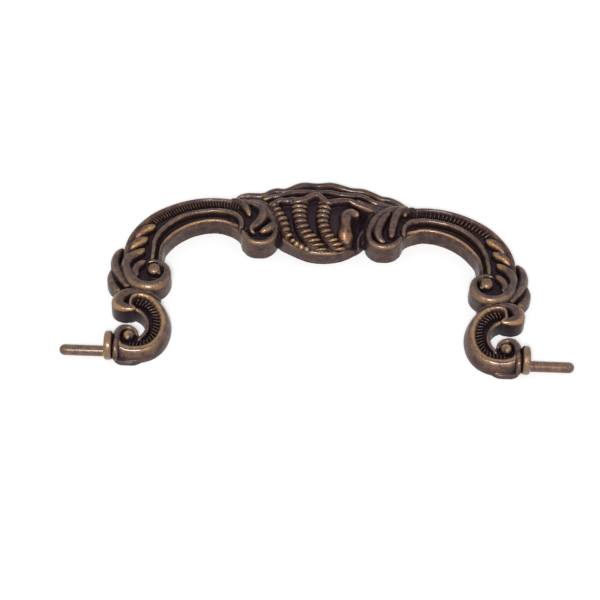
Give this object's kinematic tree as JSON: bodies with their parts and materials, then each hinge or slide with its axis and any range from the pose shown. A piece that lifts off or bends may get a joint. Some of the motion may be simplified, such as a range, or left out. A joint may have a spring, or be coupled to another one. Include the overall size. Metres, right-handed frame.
{
  "type": "drawer pull bail handle",
  "caption": "Cast bail handle of a drawer pull, with a rocaille shell between two acanthus arms, fluted C scrolls and a flanged round pin at each end.",
  "frame": {"origin": "centre of the bail's box, on the plane of its flat back", "axes": "+X along the pins towards the right pin, +Y from the pins towards the shell, +Z out of the drawer front, from the flat back to the relief"},
  "size_m": [0.1068, 0.0466, 0.0082],
  "materials": {
    "antique_bronze": "antique bronze patina, dark in the recesses and rubbed to a warm tan on the crests"
  },
  "bodies": {
    "root": {"bail": "antique_bronze"}
  },
  "joints": []
}
